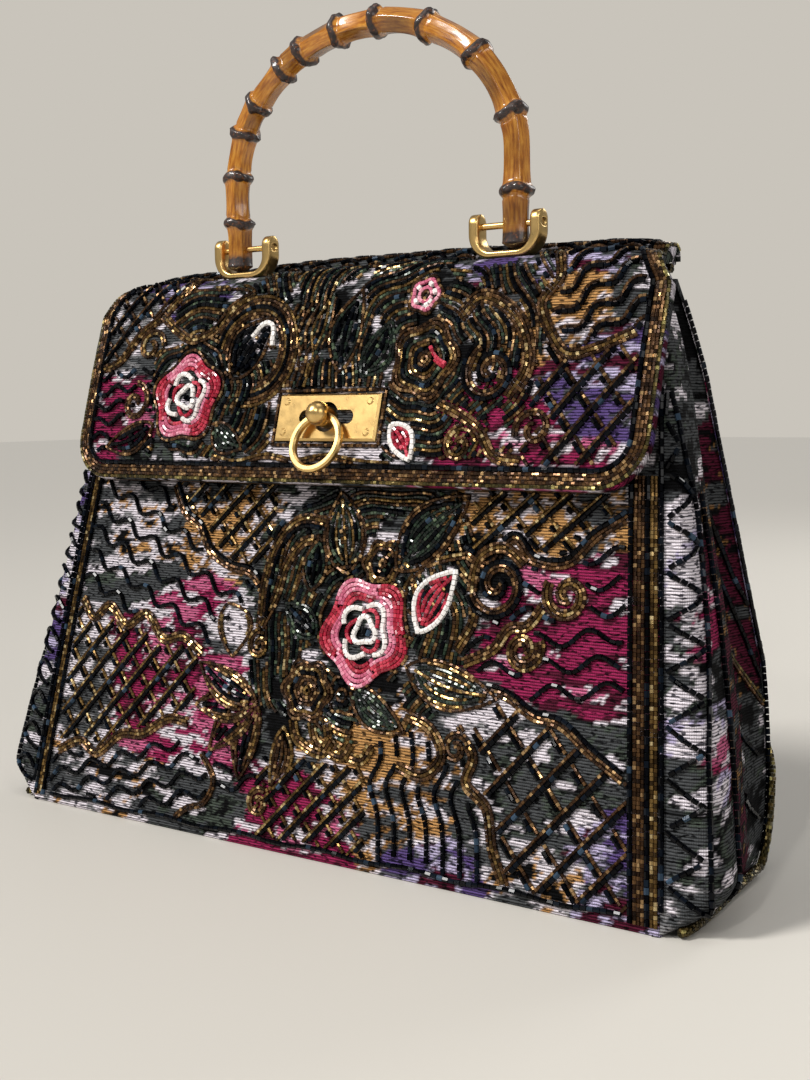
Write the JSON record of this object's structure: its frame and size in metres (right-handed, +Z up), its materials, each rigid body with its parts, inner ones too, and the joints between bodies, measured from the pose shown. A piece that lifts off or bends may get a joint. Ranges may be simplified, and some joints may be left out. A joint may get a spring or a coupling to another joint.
{
  "type": "handbag",
  "caption": "Structured flap handbag in beaded tapestry cloth, wider at its base, with a bent bamboo arch handle in metal shackles and a slotted metal clasp with a ball knob and ring.",
  "frame": {"origin": "middle of the box's bottom, under the bag, on the surface that it stands on", "axes": "+X along the bag's width to the right as seen from the front, +Y from front to back, +Z up"},
  "size_m": [0.3572, 0.105, 0.34],
  "materials": {
    "tapestry": "ribbed woven cloth in mixed colours",
    "base_cloth": "plain woven cloth",
    "lining_cloth": "plain lining cloth",
    "olive_beads": "small lustred glass beads",
    "bronze_beads": "small lustred glass beads",
    "navy_beads": "small lustred glass beads",
    "snap_metal": "plated steel",
    "gold_metal": "polished gold tone",
    "bamboo": "varnished honey bamboo with dark knuckles"
  },
  "bodies": {
    "bag": {"front_panel": "tapestry", "back_panel": "tapestry", "left_gusset": "tapestry", "right_gusset": "tapestry", "base_panel": "base_cloth", "lining": "lining_cloth", "left_base_piping": "olive_beads", "right_base_piping": "olive_beads", "hinge_piping": "olive_beads", "left_front_border": "bronze_beads", "right_front_border": "bronze_beads", "front_beadwork": "navy_beads", "back_beadwork": "navy_beads", "snap_socket": "snap_metal"},
    "flap": {"flap": "tapestry", "flap_lining": "lining_cloth", "flap_border": "bronze_beads", "flap_beadwork": "navy_beads", "clasp_plate": "gold_metal", "clasp_back_plate": "gold_metal", "clasp_rivets": "gold_metal", "clasp_knob": "gold_metal", "snap_cap": "snap_metal", "left_shackle": "gold_metal", "right_shackle": "gold_metal", "shackle_screws": "snap_metal", "left_pin": "gold_metal", "right_pin": "gold_metal"},
    "handle": {"handle": "bamboo"},
    "ring": {"clasp_ring": "gold_metal"}
  },
  "joints": [
    {"name": "flap_open", "type": "hinge", "parent": "bag", "child": "flap", "pos_m": [0, 0.0155, 0.228], "axis": [-1, 0, 0], "range_deg": [0, 110]},
    {"name": "handle_swing", "type": "hinge", "parent": "flap", "child": "handle", "pos_m": [0, 0.001, 0.2474], "axis": [-1, 0, 0], "range_deg": [-105, 62]},
    {"name": "ring_swing", "type": "hinge", "parent": "flap", "child": "ring", "pos_m": [0, -0.03077, 0.17513], "axis": [-1, 0, 0], "range_deg": [0, 165]}
  ]
}
